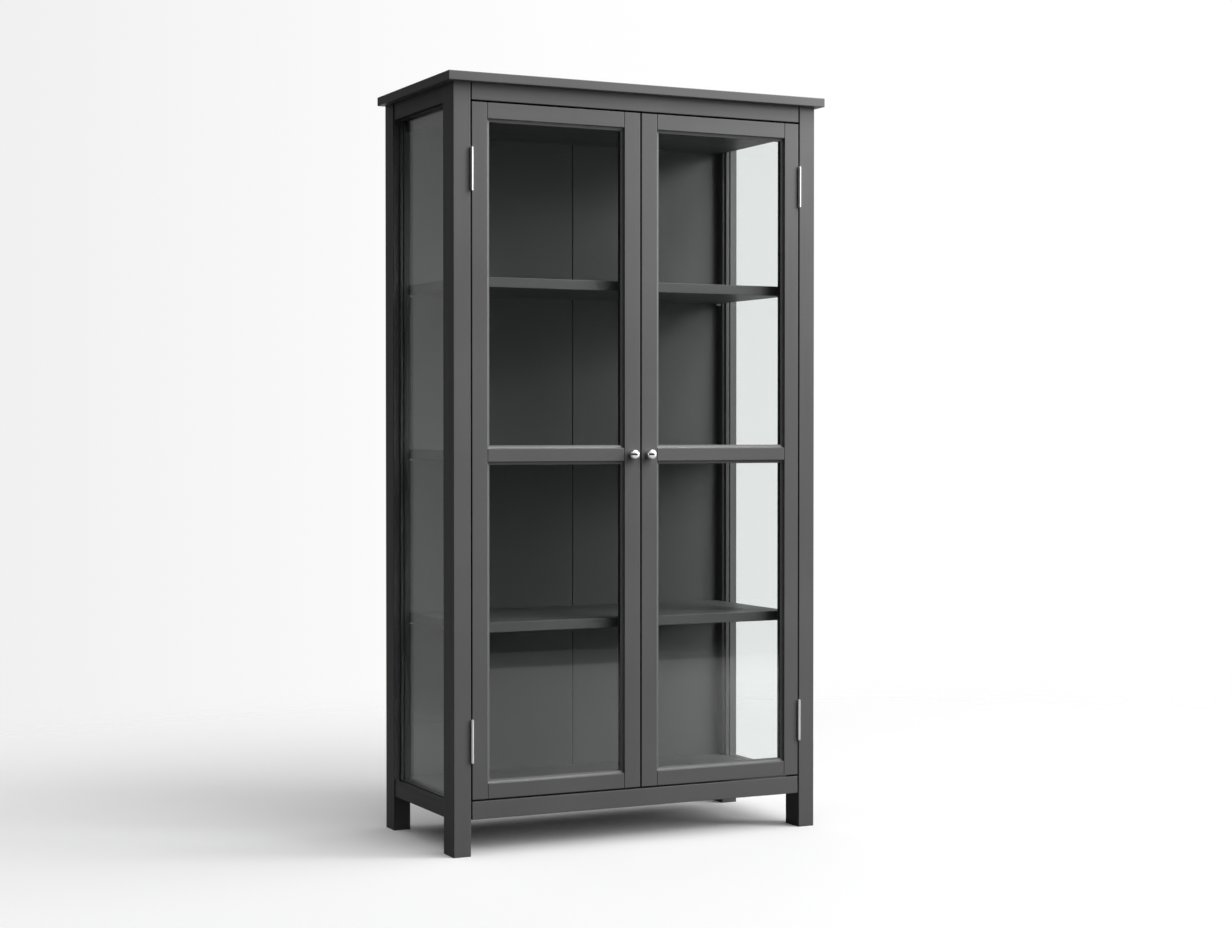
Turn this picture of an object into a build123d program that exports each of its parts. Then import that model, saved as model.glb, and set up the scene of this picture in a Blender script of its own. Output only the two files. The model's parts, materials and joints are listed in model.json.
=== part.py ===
"""Glazed display case on four legs: an open timber frame, glazed sides, and two glazed doors on butt hinges.

Millimetres, +Z up, the front towards -Y and +X to the right of someone facing the case.
While the case is laid out, y = 0 is the front plane of the posts; the last step moves the
origin to the middle of the footprint, on the floor.
"""

import os
from math import cos, radians, sin

from build123d import *

# ---- overall -------------------------------------------------------------------------------
case_width = 992.0                 # across the outer faces of the posts
case_depth = 462.0                 # front of the front posts to back of the rear posts
case_height = 1860.0               # floor to the top of the slab
slab_thickness = 22.0
slab_side_overhang = 19.0
slab_front_overhang = 20.0
slab_back_overhang = 6.0

# ---- posts and rails -----------------------------------------------------------------------
post_face = 44.0                   # width of each post seen from the front
front_post_depth = 66.0
rear_post_depth = 57.0
leg_clearance = 87.0               # floor to the underside of the bottom rails
bottom_rail_height = 43.0
front_top_rail_height = 40.5
front_rail_thickness = 22.0
front_rail_setback = 0.5
side_top_rail_height = 42.5
side_rail_setback = 2.5
side_rail_bevel_width = 14.5       # the outer half of a side rail slopes away from the glass
side_rail_bevel_drop = 6.0
rear_rail_thickness = 18.0
rear_top_rail_height = 60.0
shadow_groove_width = 3.5          # dark line at the ends of the front rails
shadow_groove_depth = 6.0
edge_radius = 1.5                  # easing on the long edges of posts and slab
fine_edge_radius = 1.0             # easing on doors, rails and shelves

# ---- joinery -------------------------------------------------------------------------------
tenon_thickness = 8.0
tenon_length = 15.0
tenon_shoulder = 6.0               # rail above and below its tenon
mortise_play = 0.1
mortise_end_play = 1.0
slab_dowel_radius = 5.0
slab_dowel_length = 30.0
dowel_play = 0.1

# ---- inside --------------------------------------------------------------------------------
floor_thickness = 24.0
ceiling_underside_drop = 72.0      # slab underside down to the ceiling panel's underside
ceiling_thickness = 30.0
panel_fit_gap = 0.2                # between the floor or ceiling panel and what it fits round
door_stop_gap = 4.0                # back of a shut door to the floor and ceiling panels
back_panel_thickness = 6.0
back_panel_front = 32.0            # rear of the rear posts forward to the back panel's front face
back_groove_depth = 6.0
back_groove_play = 0.2
back_joint_offset = 14.5           # the joint of the two back boards stands right of the middle
back_joint_gap = 1.6
back_batten_width = 50.0
back_batten_thickness = 12.0
shelf_thickness = 24.0
shelf_pitch = 415.5
shelf_end_gap = 3.5
shelf_front_inset = 46.0
shelf_back_gap = 2.0
shelf_corner_radius = 5.0
pin_radius = 2.5
pin_bore_play = 0.05
pin_bore_depth = 11.0
pin_in_bore = 10.0
pin_reach = 10.5
pin_nose_radius = 3.0
pin_collar_radius = 4.0
pin_collar_thickness = 1.5
front_pin_setback = 10.0           # front post's rear face forward to the pin
rear_pin_setback = 12.0            # rear post's front face back to the pin

# ---- side glazing --------------------------------------------------------------------------
glass_thickness = 4.0
outer_bead_width = 6.0
inner_bead_width = 9.0
side_bead_height = 6.0
glass_edge_gap = 1.5
glass_face_gap = 0.1

# ---- doors ---------------------------------------------------------------------------------
door_thickness = 22.0
door_side_gap = 3.5
door_middle_gap = 4.0
door_end_gap = 5.0
hinge_stile_face = 39.5
meeting_stile_face = 42.5
door_top_rail_face = 37.0
door_bottom_rail_face = 35.5
door_middle_rail_face = 30.5
middle_rail_height = 954.5         # floor to the centre of the middle rails and the middle shelf
moulding_radius = 8.0              # hollow moulding round each pane
moulding_lip = 2.0                 # what is left of the moulding in front of the glass
pane_lap = 7.0                     # glass and beads reach this far behind the moulding
seam_width = 1.4                   # shadow joint where a rail's face meets a stile
seam_depth = 3.0

# ---- hinges --------------------------------------------------------------------------------
hinge_length = 101.0
hinge_from_door_top = 159.0        # to the hinge's middle
hinge_from_door_bottom = 139.5
hinge_axis_proud = 4.0             # axis in front of the door's face
knuckle_radius = 3.5
knuckle_count = 5
knuckle_gap = 0.4
hinge_pin_radius = 2.0
hinge_pin_play = 0.05
pin_tip_height = 1.4
pin_tip_rim = 0.5
leaf_thickness = 1.5
leaf_depth = 18.0
screws_per_leaf = 3
screw_end_distance = 16.0          # end of a leaf to its first screw
screw_head_radius = 3.0
screw_shank_radius = 1.5
screw_length = 16.0
screw_play = 0.05

# ---- knobs and catches ---------------------------------------------------------------------
knob_radius = 13.0                 # the front half of the knob is half a ball
knob_reach = 25.0
knob_neck_radius = 5.0
knob_foot_radius = 7.5
knob_foot_thickness = 2.0
knob_neck_length = 5.5              # door face to where the head starts to widen
knob_underside_bulge = 1.6
knob_screw_radius = 2.0
knob_screw_play = 0.1
knob_screw_in_knob = 12.0
knob_screw_head_radius = 4.5
knob_screw_head_depth = 2.5
magnet_radius = 5.0
magnet_length = 16.0
magnet_to_strike = 0.5
strike_width = 14.0
strike_height = 24.0
strike_thickness = 1.0

# ---- worked out from the sizes above -------------------------------------------------------
post_outer = case_width / 2
post_inner = post_outer - post_face
slab_underside = case_height - slab_thickness
front_post_back = front_post_depth
rear_post_front = case_depth - rear_post_depth
bottom_rail_top = leg_clearance + bottom_rail_height
front_opening_top = slab_underside - front_top_rail_height
side_opening_top = slab_underside - side_top_rail_height
ceiling_underside = slab_underside - ceiling_underside_drop
ceiling_top = ceiling_underside + ceiling_thickness
back_front = case_depth - back_panel_front
back_rear = back_front + back_panel_thickness
panel_front = door_thickness + door_stop_gap

bead_outer_face = post_outer - side_rail_setback - side_rail_bevel_width
glass_outer_face = bead_outer_face - outer_bead_width
glass_inner_face = glass_outer_face - glass_thickness
side_rail_inner = glass_inner_face - inner_bead_width

door_bottom = bottom_rail_top + door_end_gap
door_top = front_opening_top - door_end_gap
door_inner = door_middle_gap / 2
door_outer = post_inner - door_side_gap
rail_inner = door_inner + meeting_stile_face
rail_outer = door_outer - hinge_stile_face
pane_front = moulding_radius + moulding_lip
pane_back = pane_front + glass_thickness
top_rail_face_low = door_top - door_top_rail_face
bottom_rail_face_high = door_bottom + door_bottom_rail_face
middle_rail_face_low = middle_rail_height - door_middle_rail_face / 2
middle_rail_face_high = middle_rail_height + door_middle_rail_face / 2

hinge_axis_x = post_inner - door_side_gap / 2
hinge_axis_y = -hinge_axis_proud
hinge_centres = (door_bottom + hinge_from_door_bottom, door_top - hinge_from_door_top)
knob_x = door_inner + meeting_stile_face / 2
magnet_z = (ceiling_underside + door_top) / 2
shelf_centres = {
    "lower": middle_rail_height - shelf_pitch,
    "middle": middle_rail_height,
    "upper": middle_rail_height + shelf_pitch,
}
knob_front = -knob_reach
slab_back = case_depth + slab_back_overhang
footprint_middle = (min(knob_front, -slab_front_overhang) + slab_back) / 2
pane_heights = [(bottom_rail_face_high, middle_rail_face_low), (middle_rail_face_high, top_rail_face_low)]
screw_y = leaf_depth / 2           # from the door's face to the hinge screws
over = 5.0                         # how far a cutting solid runs past the face that it opens
near = 0.5                         # an edge this close to a place is the edge at that place

pieces = {}
pockets = []                       # mortises to be cut in the posts


def block(x0, x1, y0, y1, z0, z1):
    """A rectangular solid between two corners."""
    middle = ((x0 + x1) / 2, (y0 + y1) / 2, (z0 + z1) / 2)
    return Pos(*middle) * Box(abs(x1 - x0), abs(y1 - y0), abs(z1 - z0))


def eased(solid, axis, radius, keep=lambda point: True):
    """The solid with its straight edges along one axis rounded, where keep accepts their middles."""
    edges = [edge for edge in solid.edges().filter_by(axis) if keep(edge.center())]
    return fillet(edges, radius)


def rod(start, direction, radius, length):
    """A round bar from a start point along a direction."""
    return extrude(Plane(start, z_dir=direction) * Circle(radius), length)


def turned(start, direction, outline):
    """A solid turned about a direction. outline is a closed line in (radius, distance along it)."""
    radial = Vector(1, 0, 0) if direction[2] else Vector(0, 0, 1)
    plane = Plane(start, x_dir=radial, z_dir=radial.cross(Vector(*direction)))
    return revolve(plane * make_face(outline), Axis(start, direction), 360)


def cornered(*corners):
    """A closed outline of straight lines."""
    return Polyline(*corners, close=True)


def add(name, shape):
    """Keep a piece that stands on the middle of the case."""
    pieces[name] = shape


def add_pair(name, shape):
    """Keep a right-hand piece and its mirror image on the left."""
    pieces["right_" + name] = shape
    pieces["left_" + name] = mirror(shape, Plane.YZ)


# ---- frame of the case ---------------------------------------------------------------------
def tenon_bars(x, y, z, along_x):
    """The bar that makes a rail's two tenons, and the larger bar that cuts their mortises."""
    play = mortise_play
    end = mortise_end_play
    bar = block(*x, *y, *z)
    if along_x:
        cutter = block(x[0] - end, x[1] + end, y[0] - play, y[1] + play, z[0] - play, z[1] + play)
    else:
        cutter = block(x[0] - play, x[1] + play, y[0] - end, y[1] + end, z[0] - play, z[1] + play)
    pockets.append(cutter)
    return bar


def cross_rail(y0, y1, z0, z1, face_y):
    """Rail across the case between two posts, its face edges eased, with a stub tenon at each end."""
    rail = block(-post_inner, post_inner, y0, y1, z0, z1)
    rail = eased(rail, Axis.X, fine_edge_radius, lambda p: abs(p.Y - face_y) < fine_edge_radius)
    middle = (y0 + y1) / 2
    reach = post_inner + tenon_length
    return rail + tenon_bars((-reach, reach), (middle - tenon_thickness / 2, middle + tenon_thickness / 2),
                             (z0 + tenon_shoulder, z1 - tenon_shoulder), along_x=True)


def front_rail(z0, z1):
    """Front rail, with a narrow shadow groove between its face and each post."""
    rail = cross_rail(front_rail_setback, front_rail_thickness, z0, z1, front_rail_setback)
    groove = block(post_inner - shadow_groove_width, post_inner, -over, shadow_groove_depth,
                   z0 - over, z1 + over)
    return rail - groove - mirror(groove, Plane.YZ)


def side_rail(outer_z, glass_z):
    """Right-hand side rail. Over its outer part, the edge towards the glass slopes away from the opening."""
    outer = post_outer - side_rail_setback
    bed = glass_z + side_rail_bevel_drop * (1 if outer_z > glass_z else -1)
    corners = [(outer, outer_z), (outer, glass_z), (bead_outer_face, bed),
               (side_rail_inner, bed), (side_rail_inner, outer_z)]
    section = Plane((0, front_post_back, 0), x_dir=(1, 0, 0), z_dir=(0, -1, 0)) * make_face(
        Polyline(*corners, close=True))
    rail = extrude(section, -(rear_post_front - front_post_back))
    middle = (side_rail_inner + bead_outer_face) / 2
    low, high = sorted((outer_z, bed))
    bar = tenon_bars((middle - tenon_thickness / 2, middle + tenon_thickness / 2),
                     (front_post_back - tenon_length, rear_post_front + tenon_length),
                     (low + tenon_shoulder, high - tenon_shoulder), along_x=False)
    return rail + bar


def make_rails():
    """The eight rails, before the posts, because their tenons give the mortises."""
    add("front_top_rail", front_rail(front_opening_top, slab_underside))
    add("front_bottom_rail", front_rail(leg_clearance, bottom_rail_top))
    rear_y = (back_rear, back_rear + rear_rail_thickness)
    rear_top_low = slab_underside - rear_top_rail_height
    add("rear_top_rail", cross_rail(*rear_y, rear_top_low, slab_underside, rear_y[1]))
    add("rear_bottom_rail", cross_rail(*rear_y, leg_clearance, bottom_rail_top, rear_y[1]))
    add_pair("side_top_rail", side_rail(slab_underside, side_opening_top))
    add_pair("side_bottom_rail", side_rail(leg_clearance, bottom_rail_top))


def dowel_places():
    """Where the slab's dowels stand, one in the middle of each post."""
    x = (post_inner + post_outer) / 2
    front_y = front_post_depth / 2
    rear_y = case_depth - rear_post_depth / 2
    return [(side * x, y) for side in (-1, 1) for y in (front_y, rear_y)]


def dowel_bores():
    """Bores for the slab's dowels, in the posts and in the slab."""
    reach = slab_dowel_length / 2 + mortise_end_play / 2
    return [rod((x, y, slab_underside - reach), (0, 0, 1), slab_dowel_radius + dowel_play, 2 * reach)
            for x, y in dowel_places()]


def make_slab_and_dowels():
    """The top slab with eased edges, and the dowels that locate it on the posts."""
    half = post_outer + slab_side_overhang
    slab = block(-half, half, -slab_front_overhang, slab_back, slab_underside, case_height)
    slab = fillet(slab.edges(), edge_radius)
    add("top_slab", slab - dowel_bores())
    low = slab_underside - slab_dowel_length / 2
    dowels = [rod((x, y, low), (0, 0, 1), slab_dowel_radius, slab_dowel_length) for x, y in dowel_places()]
    add("slab_dowels", Compound(dowels))


def pin_places():
    """Right-hand shelf pins: (y, z) of each bore in the front post and in the rear post."""
    front_y = front_post_back - front_pin_setback
    rear_y = rear_post_front + rear_pin_setback
    heights = [centre - shelf_thickness / 2 - pin_nose_radius for centre in shelf_centres.values()]
    return [(y, z) for y in (front_y, rear_y) for z in heights]


def hinge_screw_heights():
    """Heights of the screws in one column of leaves, for both hinges."""
    span = hinge_length - 2 * screw_end_distance
    step = span / (screws_per_leaf - 1)
    return [centre - span / 2 + step * index for centre in hinge_centres for index in range(screws_per_leaf)]


def touches(first, second):
    """Whether the boxes around two solids meet."""
    a, b = first.bounding_box(), second.bounding_box()
    return all(getattr(a.min, k) < getattr(b.max, k) and getattr(b.min, k) < getattr(a.max, k) for k in "XYZ")


def make_posts():
    """The four posts, cut for tenons, dowels, shelf pins, hinge screws and the back panel."""
    front = block(post_inner, post_outer, 0, front_post_back, 0, slab_underside)
    rear = block(post_inner, post_outer, rear_post_front, case_depth, 0, slab_underside)
    pin_bores = [rod((post_inner, y, z), (1, 0, 0), pin_radius + pin_bore_play, pin_bore_depth)
                 for y, z in pin_places()]
    screw_bores = [rod((post_inner, screw_y, z), (1, 0, 0), screw_shank_radius + screw_play, screw_length)
                   for z in hinge_screw_heights()]
    play = back_groove_play / 2
    back_groove = block(post_inner - over, post_inner + back_groove_depth,
                        back_front - play, back_rear + play, leg_clearance, slab_underside + over)
    cuts = pockets + dowel_bores() + pin_bores
    for name, post, own_cuts in (("front_post", front, screw_bores), ("rear_post", rear, [back_groove])):
        right = eased(post, Axis.Z, edge_radius)
        right = right - [cut for cut in cuts + own_cuts if touches(cut, right)]
        add_pair(name, right)


# ---- inside the case -----------------------------------------------------------------------
def notched_panel(z0, z1):
    """Floor or ceiling panel: as wide as the side rails allow, notched round the four posts."""
    gap = panel_fit_gap
    half = side_rail_inner - gap
    panel = block(-half, half, panel_front, back_front - gap, z0, z1)
    for side in (-1, 1):
        corner = side * (post_inner - gap)
        edge = side * (half + over)
        panel -= block(corner, edge, panel_front - over, front_post_back + gap, z0 - over, z1 + over)
        panel -= block(corner, edge, rear_post_front - gap, back_front + over, z0 - over, z1 + over)
    return eased(panel, Axis.X, fine_edge_radius, lambda p: p.Y < panel_front + fine_edge_radius)


def make_panels():
    """Floor, ceiling with its two magnets, the two back boards and the batten over their joint."""
    magnet_y = door_thickness + strike_thickness + magnet_to_strike
    magnets = [rod((side * knob_x, magnet_y, magnet_z), (0, 1, 0), magnet_radius, magnet_length)
               for side in (-1, 1)]
    magnet_bores = [rod((side * knob_x, panel_front - over, magnet_z), (0, 1, 0), magnet_radius + dowel_play,
                        magnet_y + magnet_length + mortise_end_play - panel_front + over) for side in (-1, 1)]
    add("floor_panel", notched_panel(bottom_rail_top - floor_thickness, bottom_rail_top))
    add("ceiling_panel", notched_panel(ceiling_underside, ceiling_top) - magnet_bores)
    add("door_magnets", Compound(magnets))

    edge = post_inner + back_groove_depth - back_groove_play
    joint = (back_joint_offset - back_joint_gap / 2, back_joint_offset + back_joint_gap / 2)
    for name, x0, x1, joint_x in (("left_back_board", -edge, joint[0], joint[0]),
                                  ("right_back_board", joint[1], edge, joint[1])):
        board = block(x0, x1, back_front, back_rear, leg_clearance + back_groove_play, slab_underside)
        seam = [e for e in board.edges().filter_by(Axis.Z)
                if abs(e.center().X - joint_x) < near and abs(e.center().Y - back_front) < near]
        add(name, chamfer(seam, fine_edge_radius))
    low = bottom_rail_top
    high = slab_underside - rear_top_rail_height
    half = back_batten_width / 2
    batten = block(back_joint_offset - half, back_joint_offset + half,
                   back_rear, back_rear + back_batten_thickness, low, high)
    add("back_batten", eased(batten, Axis.Z, fine_edge_radius, lambda p: p.Y > back_rear + fine_edge_radius))


def make_shelves():
    """Three loose shelves, and the four pins under each."""
    half = post_inner - shelf_end_gap
    y0 = shelf_front_inset
    y1 = back_front - shelf_back_gap
    for name, centre in shelf_centres.items():
        shelf = block(-half, half, y0, y1, centre - shelf_thickness / 2, centre + shelf_thickness / 2)
        shelf = eased(shelf, Axis.Z, shelf_corner_radius, lambda p: p.Y < y0 + near)
        front_edges = [e for e in shelf.edges() if e.center().Y < y0 + shelf_corner_radius
                       and abs(e.center().Z - centre) > shelf_thickness / 2 - near]
        add(name + "_shelf", fillet(front_edges, fine_edge_radius))
    pins = [shelf_pin(y, z) for y, z in pin_places()]
    add("shelf_pins", Compound(pins + [mirror(pin, Plane.YZ) for pin in pins]))


def shelf_pin(y, z):
    """A right-hand pin: shank in the post, collar on its face, nose under the shelf."""
    outline = cornered((0, -pin_in_bore), (pin_radius, -pin_in_bore), (pin_radius, 0), (pin_collar_radius, 0),
                       (pin_collar_radius, pin_collar_thickness), (pin_nose_radius, pin_collar_thickness),
                       (pin_nose_radius, pin_reach), (0, pin_reach))
    return turned((post_inner, y, z), (-1, 0, 0), outline)


# ---- side glazing --------------------------------------------------------------------------
def bead_ring(x0, x1, y, z, height):
    """Four beads round an opening in a side: two lie along its bottom and top, two stand between them."""
    return [block(x0, x1, y[0], y[1], z[0], z[0] + height),
            block(x0, x1, y[0], y[1], z[1] - height, z[1]),
            block(x0, x1, y[0], y[0] + height, z[0] + height, z[1] - height),
            block(x0, x1, y[1] - height, y[1], z[0] + height, z[1] - height)]


def make_side_glazing():
    """Each side has one pane between an outer and an inner ring of beads."""
    y = (front_post_back, rear_post_front)
    z = (bottom_rail_top - side_rail_bevel_drop, side_opening_top + side_rail_bevel_drop)
    gap = glass_edge_gap
    add_pair("side_glass", block(glass_inner_face + glass_face_gap, glass_outer_face - glass_face_gap,
                                 y[0] + gap, y[1] - gap, z[0] + gap, z[1] - gap))
    outer = bead_ring(glass_outer_face, bead_outer_face, y, z, side_bead_height)
    inner = bead_ring(side_rail_inner, glass_inner_face, y, z, side_bead_height)
    add_pair("side_outer_beads", Compound(outer))
    add_pair("side_inner_beads", Compound(inner))


# ---- doors ---------------------------------------------------------------------------------
def hollow_profile(plane, low, high):
    """Section of the space in a door round one pane, between the face edges low and high on the plane's x.

    The hollow moulding is a quarter circle that starts square to the door's face. Behind its lip
    the space widens into the rebate for the glass and its beads.
    """
    along = moulding_radius * (1 - cos(radians(45)))
    deep = moulding_radius * sin(radians(45))
    left = low + moulding_radius
    right = high - moulding_radius
    outline = Curve() + [
        Polyline((low, 0), (low, -over), (high, -over), (high, 0)),
        ThreePointArc((high, 0), (high - along, deep), (right, moulding_radius)),
        Polyline((right, moulding_radius), (right, pane_front), (right + pane_lap, pane_front),
                 (right + pane_lap, door_thickness + over), (left - pane_lap, door_thickness + over),
                 (left - pane_lap, pane_front), (left, pane_front), (left, moulding_radius)),
        ThreePointArc((left, moulding_radius), (low + along, deep), (low, 0)),
    ]
    return plane * make_face(outline)


def pane_space(z0, z1):
    """The space round one pane: what its section from above and its section from the side share."""
    seen_from_above = hollow_profile(Plane((0, 0, (z0 + z1) / 2)), rail_inner, rail_outer)
    side_plane = Plane(((rail_inner + rail_outer) / 2, 0, 0), x_dir=(0, 0, 1), z_dir=(-1, 0, 0))
    seen_from_side = hollow_profile(side_plane, z0, z1)
    upright = extrude(seen_from_above, (z1 - z0) / 2 + over, both=True)
    across = extrude(seen_from_side, (rail_outer - rail_inner) / 2 + over, both=True)
    return upright & across


def upright_panel(corners):
    """A solid as thick as a door, from the (x, z) corners of its outline."""
    return extrude(Plane.XZ * make_face(Polyline(*corners, close=True)), -door_thickness)


def stile(outer_x, face_x, spaces):
    """Upright of the right-hand door, from its outer edge to its face edge, with mitred mouldings beyond."""
    step = moulding_radius if face_x > outer_x else -moulding_radius
    solid = block(outer_x, face_x, 0, door_thickness, door_bottom, door_top)
    solid = eased(solid, Axis.Z, fine_edge_radius, lambda p: abs(p.X - outer_x) < near)
    for z0, z1 in pane_heights:
        solid += upright_panel([(face_x, z0), (face_x + step, z0 + moulding_radius),
                                (face_x + step, z1 - moulding_radius), (face_x, z1)])
    return solid - spaces


def door_rail(z0, z1, below, above, spaces):
    """Rail of the right-hand door. below and above are how far its mitred mouldings reach past its face."""
    outline = [(rail_inner, z0), (rail_outer, z0), (rail_outer, z1), (rail_inner, z1)]
    if below:
        outline[1:1] = [(rail_inner + below, z0 - below), (rail_outer - below, z0 - below)]
    if above:
        outline[-1:-1] = [(rail_outer - above, z1 + above), (rail_inner + above, z1 + above)]
    solid = upright_panel(outline) - spaces
    for x0, x1 in ((rail_inner, rail_inner + seam_width), (rail_outer - seam_width, rail_outer)):
        solid -= block(x0, x1, -over, seam_depth, z0, z1)
    return solid


def make_doors():
    """Each door: two stiles, three rails, two panes and the beads that hold them."""
    spaces = [pane_space(z0, z1) for z0, z1 in pane_heights]
    stile_bores = [rod((door_outer, screw_y, z), (-1, 0, 0), screw_shank_radius + screw_play, screw_length)
                   for z in hinge_screw_heights()]
    knob_bore = rod((knob_x, -over, middle_rail_height), (0, 1, 0), knob_screw_radius + knob_screw_play,
                    door_thickness + 2 * over)
    add_pair("door_hinge_stile", stile(door_outer, rail_outer, spaces) - stile_bores)
    add_pair("door_meeting_stile", stile(door_inner, rail_inner, spaces) - knob_bore)
    step = moulding_radius
    add_pair("door_top_rail", door_rail(top_rail_face_low, door_top, step, 0, spaces))
    add_pair("door_middle_rail", door_rail(middle_rail_face_low, middle_rail_face_high, step, step, spaces))
    add_pair("door_bottom_rail", door_rail(door_bottom, bottom_rail_face_high, 0, step, spaces))
    beads = []
    reach = moulding_radius - pane_lap
    for name, (z0, z1) in zip(("lower", "upper"), pane_heights):
        x = (rail_inner + reach, rail_outer - reach)
        z = (z0 + reach, z1 - reach)
        gap = glass_edge_gap
        add_pair(f"door_{name}_glass", block(x[0] + gap, x[1] - gap, pane_front + glass_face_gap,
                                             pane_back - glass_face_gap, z[0] + gap, z[1] - gap))
        beads += [block(*x, pane_back, door_thickness, z[0], z[0] + pane_lap),
                  block(*x, pane_back, door_thickness, z[1] - pane_lap, z[1]),
                  block(x[0], x[0] + pane_lap, pane_back, door_thickness, z[0] + pane_lap, z[1] - pane_lap),
                  block(x[1] - pane_lap, x[1], pane_back, door_thickness, z[0] + pane_lap, z[1] - pane_lap)]
    add_pair("door_beads", Compound(beads))


# ---- hinges --------------------------------------------------------------------------------
def hinge_leaf(centre, side, knuckles):
    """One leaf of a right-hand butt hinge, with its knuckles.

    side is 1 for the leaf on the post and -1 for the leaf on the door. knuckles are the numbers,
    from the bottom, of the knuckles that belong to this leaf.
    """
    face_x = hinge_axis_x + side * door_side_gap / 2
    inner_x = face_x - side * leaf_thickness
    low = centre - hinge_length / 2
    pitch = hinge_length / knuckle_count
    leaf = block(face_x, inner_x, 0, leaf_depth, low, low + hinge_length)
    for number in knuckles:
        z0 = low + number * pitch + (knuckle_gap / 2 if number > 0 else 0)
        z1 = low + (number + 1) * pitch - (knuckle_gap / 2 if number < knuckle_count - 1 else 0)
        leaf += rod((hinge_axis_x, hinge_axis_y, z0), (0, 0, 1), knuckle_radius, z1 - z0)
        leaf += block(face_x, inner_x, hinge_axis_y, 0, z0, z1)
    leaf -= rod((hinge_axis_x, hinge_axis_y, low - over), (0, 0, 1), hinge_pin_radius + hinge_pin_play,
                hinge_length + 2 * over)
    sinks = [screw((inner_x, screw_y, z), (side, 0, 0), screw_play)
             for z in hinge_screw_heights() if abs(z - centre) < hinge_length / 2]
    return leaf - sinks


def screw(head_centre, direction, play=0.0):
    """A countersunk screw, or with play the larger solid that cuts its hole."""
    head = screw_head_radius + play
    shank = screw_shank_radius + play
    depth = screw_head_radius - screw_shank_radius
    outline = cornered((0, 0), (head, 0), (shank, depth), (shank, screw_length), (0, screw_length))
    return turned(head_centre, direction, outline)


def hinge_pin(centre):
    """The hinge's loose pin, with a low tapered tip past each end of the knuckles."""
    low = centre - hinge_length / 2
    cap = knuckle_radius
    flat = cap / 2
    bottom = -knuckle_gap
    top = hinge_length + knuckle_gap
    outline = cornered((0, bottom - pin_tip_height), (flat, bottom - pin_tip_height),
                       (cap, bottom - pin_tip_rim), (cap, bottom),
                       (hinge_pin_radius, bottom), (hinge_pin_radius, top),
                       (cap, top), (cap, top + pin_tip_rim),
                       (flat, top + pin_tip_height), (0, top + pin_tip_height))
    return turned((hinge_axis_x, hinge_axis_y, low), (0, 0, 1), outline)


def make_hinges():
    """Two butt hinges for each door. Post leaves, pins and post screws belong to the case."""
    odd = range(0, knuckle_count, 2)
    even = range(1, knuckle_count, 2)
    post_x = post_inner - leaf_thickness
    door_x = door_outer + leaf_thickness
    post_screws = [screw((post_x, screw_y, z), (1, 0, 0)) for z in hinge_screw_heights()]
    door_screws = [screw((door_x, screw_y, z), (-1, 0, 0)) for z in hinge_screw_heights()]
    both_sides("hinge_post_leaves", [hinge_leaf(centre, 1, odd) for centre in hinge_centres])
    both_sides("hinge_pins", [hinge_pin(centre) for centre in hinge_centres])
    both_sides("hinge_post_screws", post_screws)
    add_pair("hinge_door_leaves", Compound([hinge_leaf(centre, -1, even) for centre in hinge_centres]))
    add_pair("hinge_door_screws", Compound(door_screws))


def both_sides(name, solids):
    """Keep right-hand solids and their mirror images together as one piece."""
    add(name, Compound(solids + [mirror(solid, Plane.YZ) for solid in solids]))


# ---- knobs and catches ---------------------------------------------------------------------
def make_knobs():
    """A knob with a foot, a neck and a domed head on each meeting stile, and its screw from behind."""
    shank = knob_screw_radius + knob_screw_play
    bore = knob_screw_in_knob + mortise_end_play
    crown = knob_reach - knob_radius
    slant = knob_radius * sin(radians(45))
    outline = Curve() + [
        Polyline((0, bore), (shank, bore), (shank, 0),
                 (knob_foot_radius, 0), (knob_foot_radius, knob_foot_thickness),
                 (knob_neck_radius, knob_foot_thickness), (knob_neck_radius, knob_neck_length)),
        SagittaArc((knob_neck_radius, knob_neck_length), (knob_radius, crown), -knob_underside_bulge),
        ThreePointArc((knob_radius, crown), (slant, crown + slant), (0, knob_reach)),
        Line((0, knob_reach), (0, bore)),
    ]
    knob = turned((knob_x, 0, middle_rail_height), (0, -1, 0), outline)
    add_pair("door_knob", knob)
    head = knob_screw_head_radius
    length = knob_screw_head_depth + door_thickness + knob_screw_in_knob
    screw_outline = cornered((0, 0), (head, 0), (head, knob_screw_head_depth),
                             (knob_screw_radius, knob_screw_head_depth),
                             (knob_screw_radius, length), (0, length))
    start = (knob_x, door_thickness + knob_screw_head_depth, middle_rail_height)
    add_pair("knob_screw", turned(start, (0, -1, 0), screw_outline))


def make_strikes():
    """A steel strike plate on the back of each meeting stile, facing its magnet."""
    plate = block(knob_x - strike_width / 2, knob_x + strike_width / 2,
                  door_thickness, door_thickness + strike_thickness,
                  magnet_z - strike_height / 2, magnet_z + strike_height / 2)
    add_pair("strike_plate", plate)


def make_all():
    """Make every piece, then write each to its own file with the origin under the middle of the footprint."""
    make_rails()
    make_slab_and_dowels()
    make_posts()
    make_panels()
    make_shelves()
    make_side_glazing()
    make_doors()
    make_hinges()
    make_knobs()
    make_strikes()
    os.makedirs("parts", exist_ok=True)
    for name, shape in pieces.items():
        export_step(Pos(0, -footprint_middle, 0) * shape, f"parts/{name}.step")


make_all()
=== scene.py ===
"""The glazed display case: finishes, knobs, screws, floor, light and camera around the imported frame.

Metres, +Z up, the front towards -Y. Every place and size comes from the frame's own boxes.
"""

import json
import math

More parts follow.
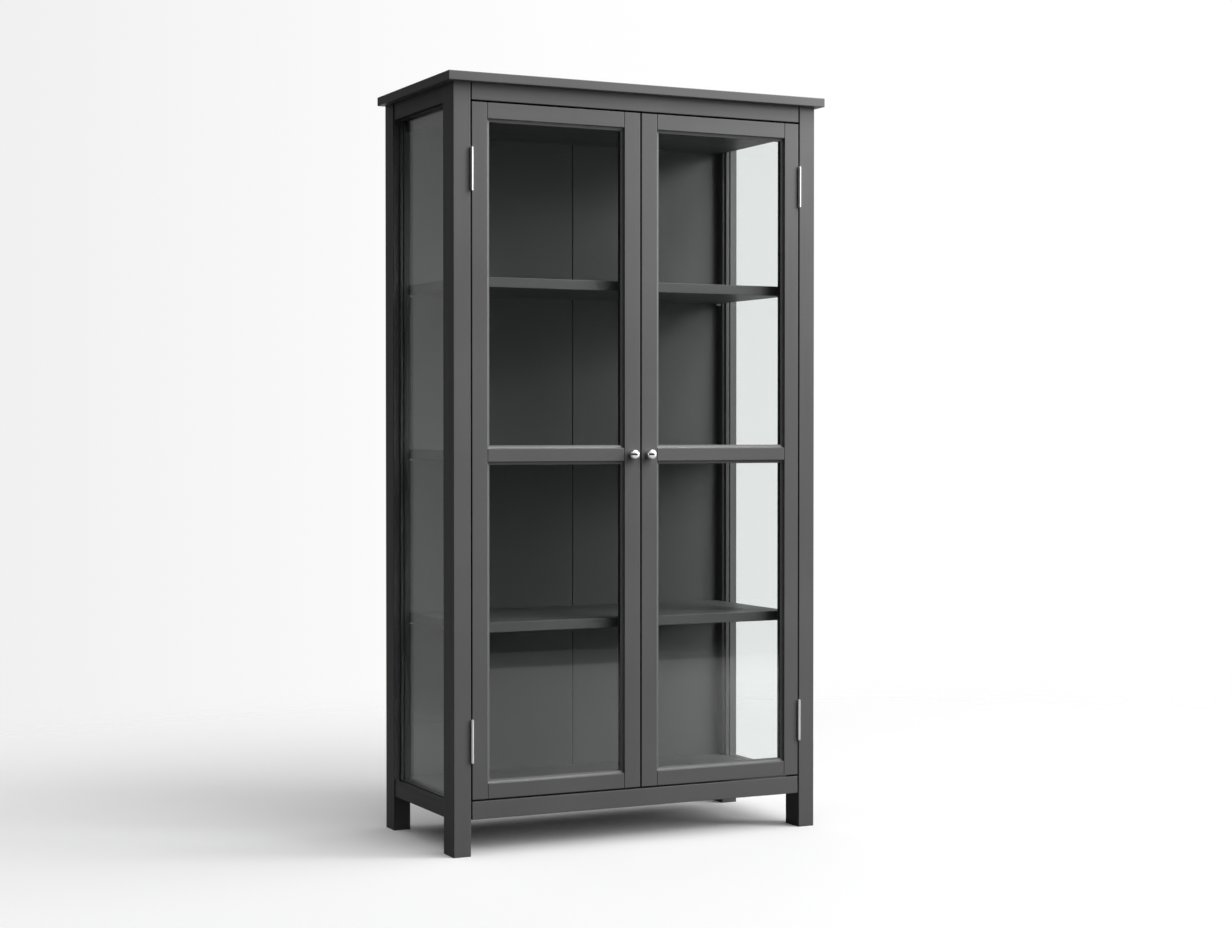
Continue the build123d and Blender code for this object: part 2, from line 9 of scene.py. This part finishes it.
import bpy
import numpy as np
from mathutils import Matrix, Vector


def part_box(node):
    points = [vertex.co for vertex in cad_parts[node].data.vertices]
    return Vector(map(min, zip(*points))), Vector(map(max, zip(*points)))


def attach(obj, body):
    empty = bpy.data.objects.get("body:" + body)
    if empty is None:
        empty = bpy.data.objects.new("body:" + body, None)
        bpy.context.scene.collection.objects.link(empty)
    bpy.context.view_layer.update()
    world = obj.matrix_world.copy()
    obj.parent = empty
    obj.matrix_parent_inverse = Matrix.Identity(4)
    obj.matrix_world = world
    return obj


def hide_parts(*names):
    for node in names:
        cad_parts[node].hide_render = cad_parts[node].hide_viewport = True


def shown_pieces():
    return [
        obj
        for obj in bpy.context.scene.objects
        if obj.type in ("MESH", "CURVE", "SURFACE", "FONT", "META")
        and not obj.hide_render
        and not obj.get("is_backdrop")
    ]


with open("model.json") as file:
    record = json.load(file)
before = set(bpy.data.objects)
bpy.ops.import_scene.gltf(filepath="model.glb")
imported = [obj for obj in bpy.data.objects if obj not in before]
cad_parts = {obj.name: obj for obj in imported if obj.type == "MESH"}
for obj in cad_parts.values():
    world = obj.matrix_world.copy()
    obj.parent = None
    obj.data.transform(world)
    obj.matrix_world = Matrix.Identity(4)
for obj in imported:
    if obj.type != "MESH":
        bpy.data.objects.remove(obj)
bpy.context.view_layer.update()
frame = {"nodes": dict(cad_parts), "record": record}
nodes = frame["nodes"]

MM = 0.001
BEVEL_SAMPLES = 6
WALL_STEEPNESS = 2.5


# ---- helpers for materials -----------------------------------------------------------------
class Finish:
    """A material under construction: its node tree, and short ways to add and join nodes."""

    def __init__(self, name):
        self.material = bpy.data.materials.new(name)
        self.material.use_nodes = True
        self.tree = self.material.node_tree
        self.tree.nodes.clear()
        self.output = self.tree.nodes.new("ShaderNodeOutputMaterial")

    def node(self, kind, inputs=None, **settings):
        """Add a node, set its properties, then set or join its inputs by name or number."""
        made = self.tree.nodes.new(kind)
        for key, value in settings.items():
            setattr(made, key, value)
        for key, value in (inputs or {}).items():
            self.join(value, made.inputs[key])
        return made

    def join(self, value, socket):
        """Link an output to a socket, or put a constant on it."""
        if isinstance(value, bpy.types.NodeSocket):
            self.tree.links.new(value, socket)
        elif isinstance(value, tuple) and socket.type == "RGBA" and len(value) == 3:
            socket.default_value = (*value, 1.0)
        else:
            socket.default_value = value

    def place(self, scale=(1.0, 1.0, 1.0)):
        """Object coordinates in metres, stretched by scale."""
        here = self.node("ShaderNodeTexCoord")
        return self.node("ShaderNodeMapping", {"Vector": here.outputs["Object"], "Scale": scale}).outputs[0]

    def noise(self, scale, stretch=(1.0, 1.0, 1.0), detail=2.0, roughness=0.5):
        """Noise whose grains are about 1 / scale metres across before the stretch."""
        inputs = {"Vector": self.place(stretch), "Scale": scale, "Detail": detail, "Roughness": roughness}
        return self.node("ShaderNodeTexNoise", inputs).outputs[0]

    def ramp(self, value, low, high, out_low=0.0, out_high=1.0):
        """Value from low..high taken smoothly to out_low..out_high."""
        inputs = {"Value": value, "From Min": low, "From Max": high, "To Min": out_low, "To Max": out_high}
        return self.node("ShaderNodeMapRange", inputs, interpolation_type="SMOOTHSTEP").outputs[0]

    def sums(self, operation, a, b):
        """One step of arithmetic on two values."""
        return self.node("ShaderNodeMath", {0: a, 1: b}, operation=operation).outputs[0]

    def blend(self, share, a, b):
        """Colour a where share is 0 and b where it is 1."""
        mix = self.node("ShaderNodeMix", data_type="RGBA")
        self.join(share, mix.inputs["Factor"])
        self.join(a, mix.inputs[6])
        self.join(b, mix.inputs[7])
        return mix.outputs[2]

    def bump(self, height, strength, distance, normal=None):
        """The normal of a surface raised by height, on top of another normal where one is given."""
        inputs = {"Height": height, "Strength": strength, "Distance": distance}
        if normal is not None:
            inputs["Normal"] = normal
        return self.node("ShaderNodeBump", inputs).outputs[0]

    def surface(self, **inputs):
        """End the material in one Principled shader. Names use _ for the spaces in a socket's name."""
        sockets = {key.replace("_", " "): value for key, value in inputs.items()}
        shader = self.node("ShaderNodeBsdfPrincipled", sockets)
        self.tree.links.new(shader.outputs[0], self.output.inputs["Surface"])
        return self.material

    def rounded(self, radius):
        """The surface's normal as if every edge had this radius."""
        return self.node("ShaderNodeBevel", {"Radius": radius}, samples=BEVEL_SAMPLES).outputs[0]

    def worn_edge(self, rounded):
        """0 on flat faces, rising to 1 where the rounded normal leaves the true one."""
        least, most = 0.02, 0.22
        true_normal = self.node("ShaderNodeNewGeometry").outputs["Normal"]
        lean = self.node("ShaderNodeVectorMath", {0: rounded, 1: true_normal}, operation="DOT_PRODUCT")
        return self.ramp(self.sums("SUBTRACT", 1.0, lean.outputs["Value"]), least, most)


# ---- finishes ------------------------------------------------------------------------------
ANTHRACITE = (0.068, 0.068, 0.0685)
ANTHRACITE_THIN = (0.105, 0.104, 0.102)
BOARD_DARK = (0.058, 0.061, 0.060)
BOARD_LIGHT = (0.066, 0.069, 0.068)
PAINT_SPECULAR = 0.3
GLASS_INDEX = 1.5
GLASS_CAST = (0.990, 1.0, 0.996)
MIDDLE = (0.3, 0.7)


def satin_paint(name, grain):
    """Sprayed satin paint on timber: faint grain along one axis, a fine stipple, thinner on the edges."""
    made = Finish(name)
    along, across = 2.2, 95.0
    edge_radius = 1.8 * MM
    stretch = tuple(along if axis == grain else across for axis in "XYZ")
    grain_lines = made.noise(1.0, stretch, detail=4.0, roughness=0.6)
    stipple = made.noise(1100.0, detail=1.0)
    clouds = made.noise(3.5, detail=3.0)
    patches = made.noise(60.0, detail=3.0)
    rounded = made.rounded(edge_radius)
    edge = made.sums("MULTIPLY", made.worn_edge(rounded), made.ramp(patches, 0.35, 0.65, 0.25, 0.8))
    shade = made.ramp(clouds, *MIDDLE, 0.94, 1.06)
    tint = made.node("ShaderNodeMix", {0: 1.0}, data_type="RGBA", blend_type="MULTIPLY")
    made.join(ANTHRACITE, tint.inputs[6])
    made.join(made.node("ShaderNodeCombineColor", {0: shade, 1: shade, 2: shade}).outputs[0], tint.inputs[7])
    base = made.blend(edge, tint.outputs[2], ANTHRACITE_THIN)
    sheen = made.ramp(grain_lines, *MIDDLE, 0.42, 0.50)
    relief = made.bump(grain_lines, 0.10, 0.25 * MM, rounded)
    relief = made.bump(stipple, 0.12, 0.06 * MM, relief)
    return made.surface(Base_Color=base, Roughness=sheen, Normal=relief,
                        Specular_IOR_Level=PAINT_SPECULAR)


def painted_board():
    """Paint rolled on fibreboard: no grain, a slightly coarser stipple."""
    made = Finish("painted_board")
    clouds = made.noise(2.5, detail=3.0)
    roller = made.noise(650.0, detail=2.0)
    base = made.blend(made.ramp(clouds, *MIDDLE), BOARD_DARK, BOARD_LIGHT)
    rough = made.ramp(roller, *MIDDLE, 0.46, 0.58)
    relief = made.bump(roller, 0.16, 0.08 * MM)
    return made.surface(Base_Color=base, Roughness=rough, Normal=relief,
                        Specular_IOR_Level=PAINT_SPECULAR)


def float_glass():
    """Clear float glass: the flatter it is seen, the more it mirrors; it has a faint green cast."""
    made = Finish("clear_glass")
    leaving = made.node("ShaderNodeNewGeometry").outputs["Backfacing"]
    index = made.ramp(leaving, 0.0, 1.0, GLASS_INDEX, 1.0 / GLASS_INDEX)
    mirror = made.node("ShaderNodeFresnel", {"IOR": index}).outputs[0]
    streaks = made.noise(5.0, (1.0, 1.0, 0.35), detail=4.0)
    smear = made.ramp(streaks, 0.45, 0.8, 0.0, 0.035)
    through = made.node("ShaderNodeBsdfTransparent", {"Color": GLASS_CAST})
    shine = made.node("ShaderNodeBsdfAnisotropic", {"Color": (1.0, 1.0, 1.0), "Roughness": smear})
    mix = made.node("ShaderNodeMixShader", {0: mirror, 1: through.outputs[0], 2: shine.outputs[0]})
    made.tree.links.new(mix.outputs[0], made.output.inputs["Surface"])
    return made.material


def satin_nickel():
    """Nickel plate brushed along the height of the hinges."""
    made = Finish("satin_nickel")
    across, along = 2600.0, 45.0
    brush = made.noise(1.0, (across, across, along), detail=2.0)
    base = made.blend(made.ramp(brush, *MIDDLE), (0.70, 0.69, 0.67), (0.78, 0.77, 0.75))
    rough = made.ramp(brush, *MIDDLE, 0.34, 0.42)
    relief = made.bump(brush, 0.04, 0.02 * MM)
    return made.surface(Base_Color=base, Metallic=1.0, Roughness=rough, Normal=relief)


def polished_chrome():
    """Bright chrome with a trace of handling marks."""
    made = Finish("polished_chrome")
    marks = made.noise(420.0, (1.0, 1.0, 0.3), detail=4.0, roughness=0.65)
    rough = made.ramp(marks, 0.5, 0.8, 0.035, 0.11)
    return made.surface(Base_Color=(0.86, 0.86, 0.87), Metallic=1.0, Roughness=rough)


def zinc_plate():
    """Zinc plated steel: a dull bluish grey with a crystalline mottle."""
    made = Finish("zinc_plated_steel")
    crystals = made.node("ShaderNodeTexVoronoi", {"Vector": made.place(), "Scale": 900.0})
    cells = crystals.outputs["Distance"]
    base = made.blend(made.ramp(cells, 0.1, 0.8), (0.52, 0.54, 0.57), (0.68, 0.69, 0.70))
    rough = made.ramp(cells, 0.1, 0.8, 0.28, 0.42)
    relief = made.bump(cells, 0.1, 0.03 * MM)
    return made.surface(Base_Color=base, Metallic=1.0, Roughness=rough, Normal=relief)


def beech_dowel():
    """Plain beech with short dark rays along the grain."""
    made = Finish("beech_dowel")
    rays = made.noise(1.0, (1500.0, 1500.0, 160.0), detail=3.0)
    base = made.blend(made.ramp(rays, 0.35, 0.65), (0.50, 0.33, 0.19), (0.66, 0.48, 0.31))
    return made.surface(Base_Color=base, Roughness=0.62, Normal=made.bump(rays, 0.2, 0.1 * MM))


paint = {grain: satin_paint("painted_timber_" + grain, grain) for grain in "ZXY"}
finishes = {
    "painted_board": painted_board(),
    "clear_glass": float_glass(),
    "satin_nickel": satin_nickel(),
    "polished_chrome": polished_chrome(),
    "zinc_plated_steel": zinc_plate(),
    "beech_dowel": beech_dowel(),
}


def grain_of(node):
    """Timber runs along the longest side of its piece."""
    low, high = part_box(node)
    sides = high - low
    return "XYZ"[max(range(3), key=lambda axis: sides[axis])]


def finish_nodes():
    """Give every node of the frame the finish of its slot in the record."""
    for row in frame["record"]["subparts"]:
        name, slot = row["node"], row["material_slot"]
        finish = paint[grain_of(name)] if slot == "painted_timber" else finishes[slot]
        mesh = nodes[name].data
        mesh.materials.clear()
        mesh.materials.append(finish)


# ---- worked surfaces -----------------------------------------------------------------------
def frame_of(direction):
    """Two unit vectors square to a direction and to each other."""
    axis = np.array(direction, float)
    side = np.cross(axis, (0.0, 0.0, 1.0) if abs(axis[2]) < 0.9 else (1.0, 0.0, 0.0))
    side /= np.linalg.norm(side)
    return axis, side, np.cross(axis, side)


def turned(start, direction, radii, heights, around):
    """Points and faces of a closed surface of revolution.

    Point (i, j) = start + heights[i] * axis + radii[i] * (cos(a) * u + sin(a) * v), with a = 2 pi j / around;
    the first and last rings are closed by one point each on the axis.
    """
    axis, u, v = frame_of(direction)
    angle = 2 * np.pi * np.arange(around) / around
    ring = np.cos(angle)[:, None] * u + np.sin(angle)[:, None] * v
    radii, heights = np.asarray(radii, float), np.asarray(heights, float)
    grid = heights[:, None, None] * axis + radii[:, None, None] * ring
    ends = np.array([heights[0] * axis, heights[-1] * axis])
    points = np.concatenate([grid.reshape(-1, 3), ends]) + np.array(start, float)
    rings = len(radii)
    index = np.arange(rings * around).reshape(rings, around)
    ahead = np.roll(index, -1, axis=1)
    quads = np.stack([index[:-1], ahead[:-1], ahead[1:], index[1:]], axis=-1).reshape(-1, 4)
    first, last = rings * around, rings * around + 1
    cap = np.stack([np.full(around, first), ahead[0], index[0]], axis=-1)
    lid = np.stack([np.full(around, last), index[-1], ahead[-1]], axis=-1)
    return points, quads.tolist() + cap.tolist() + lid.tolist()


def gather(parts):
    """Several (points, faces) pairs as one."""
    points, faces, start = [], [], 0
    for some_points, some_faces in parts:
        points.append(some_points)
        faces += [[start + k for k in face] for face in some_faces]
        start += len(some_points)
    return np.concatenate(points), faces


def piece(name, points, faces, body, slot, replaced, crease=40.0):
    """Make the mesh, shade it smooth but for creases, dress it, and let it ride and stand for its node."""
    mesh = bpy.data.meshes.new(name)
    mesh.from_pydata(points.tolist(), [], faces)
    mesh.update()
    made = bpy.data.objects.new(name, mesh)
    bpy.context.scene.collection.objects.link(made)
    mesh.polygons.foreach_set("use_smooth", np.ones(len(mesh.polygons), bool))
    mesh.set_sharp_from_angle(angle=math.radians(crease))
    mesh.materials.append(finishes[slot])
    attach(made, body)
    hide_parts(replaced)
    return made


def body_of(node):
    """The body that holds a node."""
    for body, members in frame["record"]["behaviour"]["bodies"].items():
        if node in members:
            return body


def arc(centre_r, centre_h, radius, start, end, count):
    """Profile points on a circle, from angle start to end in degrees.

    At angle a they are (centre_r + radius * cos(a), centre_h + radius * sin(a)): 0 points outwards and
    90 along the axis.
    """
    a = np.radians(np.linspace(start, end, count))
    return centre_r + radius * np.cos(a), centre_h + radius * np.sin(a)


def knob_profile(reach, radius):
    """Foot with a rounded rim, a waisted neck and a ball head.

    The ball's centre lies one radius behind the crown; the arcs are quarter circles but for the ball,
    which runs from ball_start to ball_end degrees.
    """
    foot, rim, neck, fillet = 0.625 * radius, 1.0 * MM, 0.40 * radius, 0.8 * MM
    underside, ease = 0.85 * foot, 0.15 * MM
    ball_start, ball_end = -62, 89
    rows = [(np.array([underside]), np.array([0.0])),
            (np.array([foot]), np.array([ease])),
            arc(foot - rim, rim, rim, 0, 90, 7),
            arc(neck + fillet, 2 * rim + fillet, fillet, 270, 180, 7),
            arc(0.0, reach - radius, radius, ball_start, ball_end, 72)]
    radii = np.concatenate([row[0] for row in rows])
    heights = np.concatenate([row[1] for row in rows])
    return radii, heights


def make_knobs():
    """A polished ball knob on each meeting stile."""
    for side in ("left", "right"):
        node = side + "_door_knob"
        low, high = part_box(node)
        radius = (high.x - low.x) / 2
        start = ((low.x + high.x) / 2, high.y, (low.z + high.z) / 2)
        radii, heights = knob_profile(high.y - low.y, radius)
        points, faces = turned(start, (0, -1, 0), radii, heights, 96)
        piece(side + "_ball_knob", points, faces, body_of(node), "polished_chrome", node)


def recessed_screw(centre, direction, head, shank, length):
    """A countersunk screw whose flat head has a tapered cross recess.

    On the head, with p and q the distances from the two arms' centre lines, the surface sinks by
    depth * (1 - max(p, q) / reach) * wall, where wall = steepness * (1 - min(p, q) / half width) held
    between 0 and 1; it sinks by nothing past reach.
    """
    around, rings = 48, 26
    innermost, tip_share, rim_share = 0.02, 0.1, 0.15
    axis, u, v = frame_of(direction)
    angle = 2 * np.pi * np.arange(around) / around
    r = head * np.linspace(1.0, innermost, rings)
    p = np.abs(r[:, None] * np.cos(angle))
    q = np.abs(r[:, None] * np.sin(angle))
    reach, half_width, depth = 0.62 * head, 0.17 * head, 0.75 * head
    wall = np.clip(WALL_STEEPNESS - WALL_STEEPNESS * np.minimum(p, q) / half_width, 0, 1)
    sunk = depth * np.clip(1 - np.maximum(p, q) / reach, 0, 1) * wall
    ring = np.cos(angle)[:, None] * u + np.sin(angle)[:, None] * v
    top = np.array(centre) + r[:, None, None] * ring + sunk[..., None] * axis
    points, faces = turned(centre, direction, [head, shank, shank, tip_share * shank],
                           [rim_share * (head - shank), head - shank, length - shank, length], around)
    points, faces = points[:-2], faces[:-2 * around]
    base = len(points)
    tip = np.array(centre) + length * axis
    deepest = np.array(centre) + depth * axis
    points = np.concatenate([points, top.reshape(-1, 3), [tip, deepest]])
    index = base + np.arange(rings * around).reshape(rings, around)
    ahead = np.roll(index, -1, axis=1)
    quads = np.stack([index[:-1], index[1:], ahead[1:], ahead[:-1]], axis=-1).reshape(-1, 4)
    last_ring = np.arange(3 * around, 4 * around)
    first_ring = np.arange(around)
    tip_index, deep_index = len(points) - 2, len(points) - 1
    point = np.stack([np.full(around, tip_index), last_ring, np.roll(last_ring, -1)], axis=-1)
    pit = np.stack([np.full(around, deep_index), ahead[-1], index[-1]], axis=-1)
    rim = np.stack([first_ring, index[0], ahead[0], np.roll(first_ring, -1)], axis=-1)
    return points, faces + quads.tolist() + point.tolist() + pit.tolist() + rim.tolist()


def islands(node):
    """The boxes of a node's separate solids, as (low, high) pairs."""
    mesh = nodes[node].data
    co = np.empty(len(mesh.vertices) * 3)
    mesh.vertices.foreach_get("co", co)
    co = co.reshape(-1, 3)
    edges = np.empty(len(mesh.edges) * 2, int)
    mesh.edges.foreach_get("vertices", edges)
    _, same = np.unique(np.round(co / (0.001 * MM)).astype(int), axis=0, return_inverse=True)
    label = np.arange(same.max() + 1)
    pairs = same.ravel()[edges.reshape(-1, 2)]
    while True:
        lowest = np.minimum(label[pairs[:, 0]], label[pairs[:, 1]])
        before = label.copy()
        np.minimum.at(label, pairs[:, 0], lowest)
        np.minimum.at(label, pairs[:, 1], lowest)
        if np.array_equal(before, label):
            break
    owner = label[same.ravel()]
    return [(co[owner == k].min(0), co[owner == k].max(0)) for k in np.unique(owner)]


def make_screws():
    """Countersunk screws with a cross recess in place of the frame's plain ones."""
    for node in ("hinge_post_screws", "left_hinge_door_screws", "right_hinge_door_screws",
                 "left_knob_screw", "right_knob_screw"):
        across_case = "hinge" in node
        parts = []
        for low, high in islands(node):
            centre = (low + high) / 2
            size = high - low
            if across_case:
                towards_post = node == "hinge_post_screws"
                way = math.copysign(1.0, centre[0]) * (1 if towards_post else -1)
                direction = (way, 0, 0)
                centre[0] = low[0] if way > 0 else high[0]
                head, length = size[2] / 2, size[0]
                parts.append(recessed_screw(centre, direction, head, head / 2, length))
            else:
                centre[1] = high[1]
                parts.append(pan_screw(centre, (0, -1, 0), size[2] / 2, size[1]))
        points, faces = gather(parts)
        slot = "satin_nickel" if across_case else "zinc_plated_steel"
        piece(node + "_with_recess", points, faces, body_of(node), slot, node)


def pan_screw(centre, direction, head, length):
    """A pan-head machine screw with a domed head, a cross recess and a plain shank.

    The dome is a quarter ellipse, head wide by dome deep. The recess sinks by
    depth * (1 - max(p, q) / reach) * wall, as in recessed_screw, near the crown only.
    """
    around, dome_points = 48, 14
    dome, shank, depth, end_bevel = 2.5 * MM, 2.0 * MM, 1.4 * MM, 0.5 * MM
    end_share, crown_share = 0.6, 0.6
    reach, half_width = 0.6 * head, 0.16 * head
    radii, heights = arc(0.0, dome, 1.0, 270, 360, dome_points)
    radii, heights = radii * head, dome + (heights - dome) * dome
    radii = np.concatenate([radii[1:], [shank, shank, shank * end_share]])
    heights = np.concatenate([heights[1:], [dome, length - end_bevel, length]])
    points, faces = turned(centre, direction, radii, heights, around)
    axis, u, v = frame_of(direction)
    offset = points - np.array(centre)
    p, q, deep = np.abs(offset @ u), np.abs(offset @ v), offset @ axis
    sunk = depth * np.clip(1 - np.maximum(p, q) / reach, 0, 1)
    sunk *= np.clip(WALL_STEEPNESS - WALL_STEEPNESS * np.minimum(p, q) / half_width, 0, 1)
    sunk[deep > dome * crown_share] = 0
    return points + sunk[:, None] * axis, faces


# ---- floor, light, camera ------------------------------------------------------------------
def make_floor():
    """A plain pale floor: it ends in a straight front edge and fades out sideways and behind.

    It has one tone to the camera. In mirrors it is painted darker, in bands by depth, as a painted reflection
    in the glass. For the light it throws back it is painted nearly black, as painted shade on the case where
    the floor's bounce would light it.
    """
    front, back, side = -4.6, 12.0, 12.0
    count = 40
    fade_start, fade_end, fade_centre = 2.6, 4.8, -1.5
    # The first tone is what the camera sees. The second is painted shade: the floor gives back almost no
    # light. The three mirrored tones are a painted reflection.
    seen, painted_shade_bounce = (0.90, 0.90, 0.90), (0.09, 0.09, 0.09)
    near_painted_reflection, mid_painted_reflection, far_painted_reflection = (0.28, 0.28, 0.28), (0.66, 0.66, 0.66), (0.42, 0.42, 0.42)
    near_split, far_split = (-4.05, -3.95), (-0.9, -0.3)
    x, y = np.meshgrid(np.linspace(-side, side, count), np.linspace(front, back, count), indexing="ij")
    points = np.stack([x, y, np.zeros_like(x)], axis=-1).reshape(-1, 3)
    index = np.arange(count * count).reshape(count, count)
    quads = np.stack([index[:-1, :-1], index[1:, :-1], index[1:, 1:], index[:-1, 1:]], axis=-1).reshape(-1, 4)
    mesh = bpy.data.meshes.new("floor")
    mesh.from_pydata(points.tolist(), [], quads.tolist())
    floor = bpy.data.objects.new("floor", mesh)
    bpy.context.scene.collection.objects.link(floor)
    made = Finish("pale_floor")
    here = made.node("ShaderNodeTexCoord").outputs["Object"]
    step = (0.0, -fade_centre, 0.0)
    ahead = made.node("ShaderNodeVectorMath", {0: here, 1: step}, operation="ADD").outputs["Vector"]
    far = made.node("ShaderNodeVectorMath", {0: ahead}, operation="LENGTH").outputs["Value"]
    fade = made.ramp(far, fade_start, fade_end)
    path = made.node("ShaderNodeLightPath").outputs
    depth = made.node("ShaderNodeSeparateXYZ", {0: here}).outputs["Y"]
    # Painted reflection: in mirrors the floor is darker in bands by depth.
    mirrored = made.blend(made.ramp(depth, *near_split), near_painted_reflection, mid_painted_reflection)
    mirrored = made.blend(made.ramp(depth, *far_split), mirrored, far_painted_reflection)
    colour = made.blend(path["Is Glossy Ray"], seen, mirrored)
    # Painted shade: diffuse rays see the floor nearly black, so it lights the case very little.
    colour = made.blend(path["Is Diffuse Ray"], colour, painted_shade_bounce)
    pale = made.node("ShaderNodeBsdfDiffuse", {"Color": colour})
    clear = made.node("ShaderNodeBsdfTransparent")
    mix = made.node("ShaderNodeMixShader", {0: fade, 1: pale.outputs[0], 2: clear.outputs[0]})
    made.tree.links.new(mix.outputs[0], made.output.inputs["Surface"])
    mesh.materials.append(made.material)
    floor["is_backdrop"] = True
    return floor


BRIGHT_SIDE = (0.76, -0.64, 0.12)


def make_world():
    """White surroundings to look at, and dim grey ones for the case to be lit by and to mirror."""
    world = bpy.data.worlds.new("studio")
    bpy.context.scene.world = world
    world.use_nodes = True
    world.cycles.sampling_method = "NONE"
    tree = world.node_tree
    tree.nodes.clear()

    def ramp(source, low, high, out_low, out_high):
        """Source from low..high taken smoothly to out_low..out_high."""
        node = tree.nodes.new("ShaderNodeMapRange")
        node.interpolation_type = "SMOOTHSTEP"
        for socket, value in zip(node.inputs[1:5], (low, high, out_low, out_high)):
            socket.default_value = value
        tree.links.new(source, node.inputs[0])
        return node.outputs[0]

    def choose(share, otherwise, chosen):
        """The value otherwise where share is 0 and chosen where it is 1."""
        node = tree.nodes.new("ShaderNodeMix")
        tree.links.new(share, node.inputs[0])
        for value, socket in ((otherwise, node.inputs[2]), (chosen, node.inputs[3])):
            if isinstance(value, bpy.types.NodeSocket):
                tree.links.new(value, socket)
            else:
                socket.default_value = value
        return node.outputs[0]

    def largest(one, other):
        """The larger of two values."""
        node = tree.nodes.new("ShaderNodeMath")
        node.operation = "MAXIMUM"
        tree.links.new(one, node.inputs[0])
        tree.links.new(other, node.inputs[1])
        return node.outputs[0]

    path = tree.nodes.new("ShaderNodeLightPath")
    compass = tree.nodes.new("ShaderNodeTexCoord")
    way = tree.nodes.new("ShaderNodeSeparateXYZ")
    tree.links.new(compass.outputs["Generated"], way.inputs[0])
    dim_glow, left_glow, right_glow = 0.035, 0.27, 1.0
    ceiling_glow, window_glow = 0.85, 2.4
    unlit, brightest = 0.024, 2.3
    behind = choose(ramp(way.outputs["X"], -0.10, 0.30, 0.0, 1.0), left_glow, right_glow)
    mirrored = choose(ramp(way.outputs["Y"], 0.60, 0.92, 0.0, 1.0), dim_glow, behind)
    mirrored = largest(mirrored, ramp(way.outputs["Z"], 0.35, 0.60, 0.0, ceiling_glow))
    mirrored = largest(mirrored, ramp(way.outputs["X"], 0.66, 0.92, 0.0, window_glow))
    seen = ramp(way.outputs["X"], 0.10, 0.48, 0.86, 1.0)
    lean = tree.nodes.new("ShaderNodeVectorMath")
    lean.operation = "DOT_PRODUCT"
    tree.links.new(compass.outputs["Generated"], lean.inputs[0])
    lean.inputs[1].default_value = BRIGHT_SIDE
    lit = ramp(lean.outputs["Value"], 0.35, 1.0, unlit, brightest)
    unseen = choose(path.outputs["Is Diffuse Ray"], mirrored, lit)
    glow = tree.nodes.new("ShaderNodeBackground")
    tree.links.new(choose(path.outputs["Is Camera Ray"], unseen, seen), glow.inputs["Strength"])
    glow.inputs["Color"].default_value = (1.0, 1.0, 1.0, 1.0)
    tree.links.new(glow.outputs[0], tree.nodes.new("ShaderNodeOutputWorld").inputs["Surface"])


SUN_PLACE = (0.0, 0.0, 3.0)
MIDDLE_OF_CASE = Vector((0.0, 0.0, 0.95))


def direction(azimuth, elevation):
    """Unit vector towards a place, its azimuth measured from straight in front to the right, in degrees."""
    turn, rise = math.radians(azimuth), math.radians(elevation)
    return Vector((math.sin(turn) * math.cos(rise), -math.cos(turn) * math.cos(rise), math.sin(rise)))


def put_lamp(lamp, place, away, receivers):
    """Hang a lamp at a place so that it shines against the direction given, on the receivers only."""
    made = bpy.data.objects.new(lamp.name, lamp)
    made.location = place
    made.rotation_euler = (-away).to_track_quat("-Z", "Y").to_euler()
    bpy.context.scene.collection.objects.link(made)
    made.light_linking.receiver_collection = receivers


def sun(name, azimuth, elevation, spread, strength, receivers):
    """Parallel light from a direction, spread degrees wide."""
    lamp = bpy.data.lights.new(name, "SUN")
    lamp.angle = math.radians(spread)
    lamp.energy = strength
    put_lamp(lamp, SUN_PLACE, direction(azimuth, elevation), receivers)


def softbox(name, azimuth, elevation, distance, size, power, receivers):
    """A square area light facing the middle of the case."""
    lamp = bpy.data.lights.new(name, "AREA")
    lamp.shape = "SQUARE"
    lamp.size = size
    lamp.energy = power
    away = direction(azimuth, elevation)
    put_lamp(lamp, MIDDLE_OF_CASE + distance * away, away, receivers)


def make_lights(floor):
    """Light from the right, broad and nearly even on the case, from above, and faintly from behind."""
    case, ground = (bpy.data.collections.new(name) for name in ("lit_case", "lit_floor"))
    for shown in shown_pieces():
        case.objects.link(shown)
    ground.objects.link(floor)
    sun("overhead", 0.0, 90.0, 30.0, 1.1, case)
    sun("overhead_on_floor", 0.0, 90.0, 110.0, 1.45, ground)
    sun("front_on_floor", 10.0, 27.0, 60.0, 0.85, ground)
    sun("front_right", 30.0, 45.0, 20.0, 1.2, case)
    sun("far_right", 60.0, 20.0, 20.0, 1.15, case)
    sun("behind", 180.0, 35.0, 20.0, 0.7, case)
    softbox("near_high", 50.0, 60.0, 3.2, 0.9, 80.0, case)
    softbox("near_low", 50.0, 30.0, 3.2, 0.9, 38.0, case)
    softbox("floor_right", 57.0, 9.5, 4.8, 1.5, 120.0, ground)


def make_camera():
    """A long lens at about the middle height of the case, from its front left, tipped slightly down."""
    place = (-2.45195, -5.08059, 1.01353)
    dip, swing = 0.868, 26.129
    lens = bpy.data.cameras.new("camera")
    lens.lens = 64.61
    lens.sensor_width = 36.0
    camera = bpy.data.objects.new("camera", lens)
    camera.location = place
    camera.rotation_euler = (math.radians(90.0 - dip), 0.0, math.radians(-swing))
    bpy.context.scene.collection.objects.link(camera)
    bpy.context.scene.camera = camera


finish_nodes()
make_knobs()
make_screws()
make_world()
make_lights(make_floor())
make_camera()
bpy.context.scene.view_settings.view_transform = "Standard"
